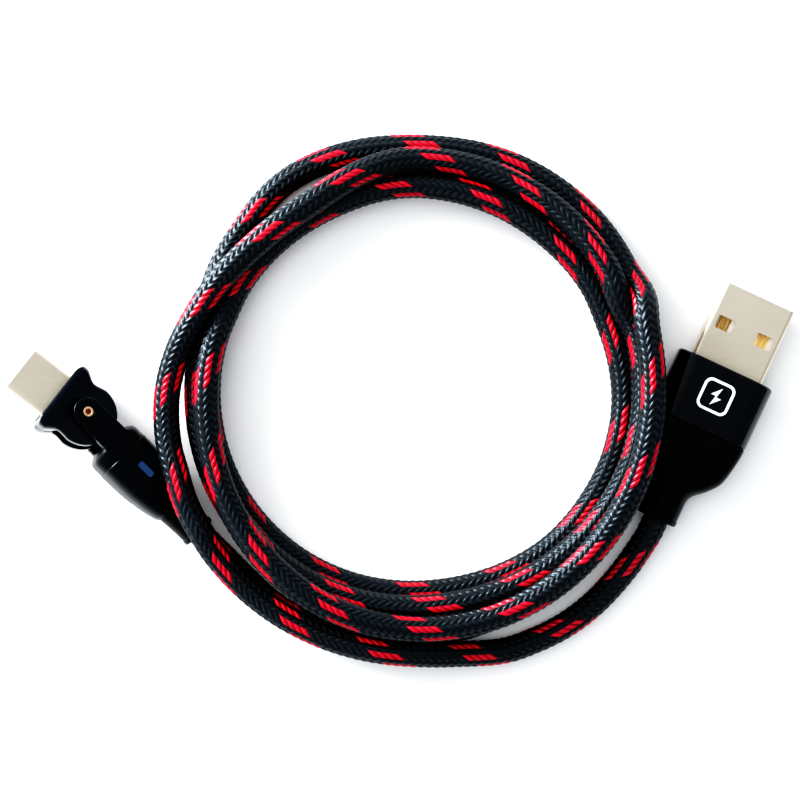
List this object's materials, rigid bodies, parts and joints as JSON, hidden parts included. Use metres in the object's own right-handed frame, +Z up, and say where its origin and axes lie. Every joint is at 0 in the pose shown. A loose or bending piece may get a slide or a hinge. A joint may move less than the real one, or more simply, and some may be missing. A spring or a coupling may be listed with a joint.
{
  "type": "charging cable",
  "caption": "Braided charging cable with a USB-A plug, a USB-C plug on a hinged head that swings to either side, and the cord wound in a loose flat coil.",
  "frame": {"origin": "on the surface that the cable lies on, at the middle of the box around the two plugs", "axes": "+X from the USB-C end towards the USB-A end, +Z up out of the surface"},
  "size_m": [0.125, 0.0838, 0.0116],
  "materials": {
    "plug_steel": "satin nickel plate",
    "spring_steel": "plain stamped sheet",
    "contact_gold": "thin gold plate",
    "white_nylon": "moulded, matt",
    "black_nylon": "moulded, matt",
    "board_green": "solder mask",
    "led_white": "ceramic body with phosphor",
    "cover_black": "piano gloss",
    "boot_black": "fine satin moulding",
    "print_white": "pad print",
    "wire_pvc": "insulated conductors",
    "braid": "braided nylon, black with red flecks and one grey side",
    "jacket": "cable end under the boots",
    "handle_black": "blue-black satin coat",
    "head_black": "blue-black gloss coat",
    "window_blue": "smoked blue light guide",
    "screw_brass": "copper tone"
  },
  "bodies": {
    "cable": {"usb_a_shell": "plug_steel", "usb_a_insulator": "white_nylon", "usb_a_contacts": "contact_gold", "usb_a_board": "board_green", "usb_a_shield": "spring_steel", "usb_a_cover": "cover_black", "usb_a_boot": "boot_black", "usb_a_mark": "print_white", "usb_a_wires": "wire_pvc", "usb_a_crimp": "spring_steel", "usb_a_cable_end": "jacket", "cord_coil": "braid", "cord_tail": "braid", "handle_cable_end": "jacket", "strain_relief": "boot_black", "handle_sleeve": "handle_black", "handle_crimp": "spring_steel", "handle_wires": "wire_pvc", "led_board": "board_green", "led": "led_white", "led_window": "window_blue", "yoke": "handle_black", "pivot_screws": "screw_brass", "pivot_washers": "spring_steel"},
    "swing_head": {"head_upper": "head_black", "head_lower": "head_black", "usb_c_shell": "plug_steel", "usb_c_insulator": "black_nylon", "usb_c_contacts": "contact_gold", "usb_c_latches": "spring_steel", "usb_c_board": "board_green", "head_wires": "wire_pvc"}
  },
  "joints": [
    {"name": "head_hinge", "type": "hinge", "parent": "cable", "child": "swing_head", "pos_m": [-0.0505, -0.0004, 0.0056], "axis": [0.3295, 0.1992, 0.9229], "range_deg": [-97.5, 82.5]}
  ]
}
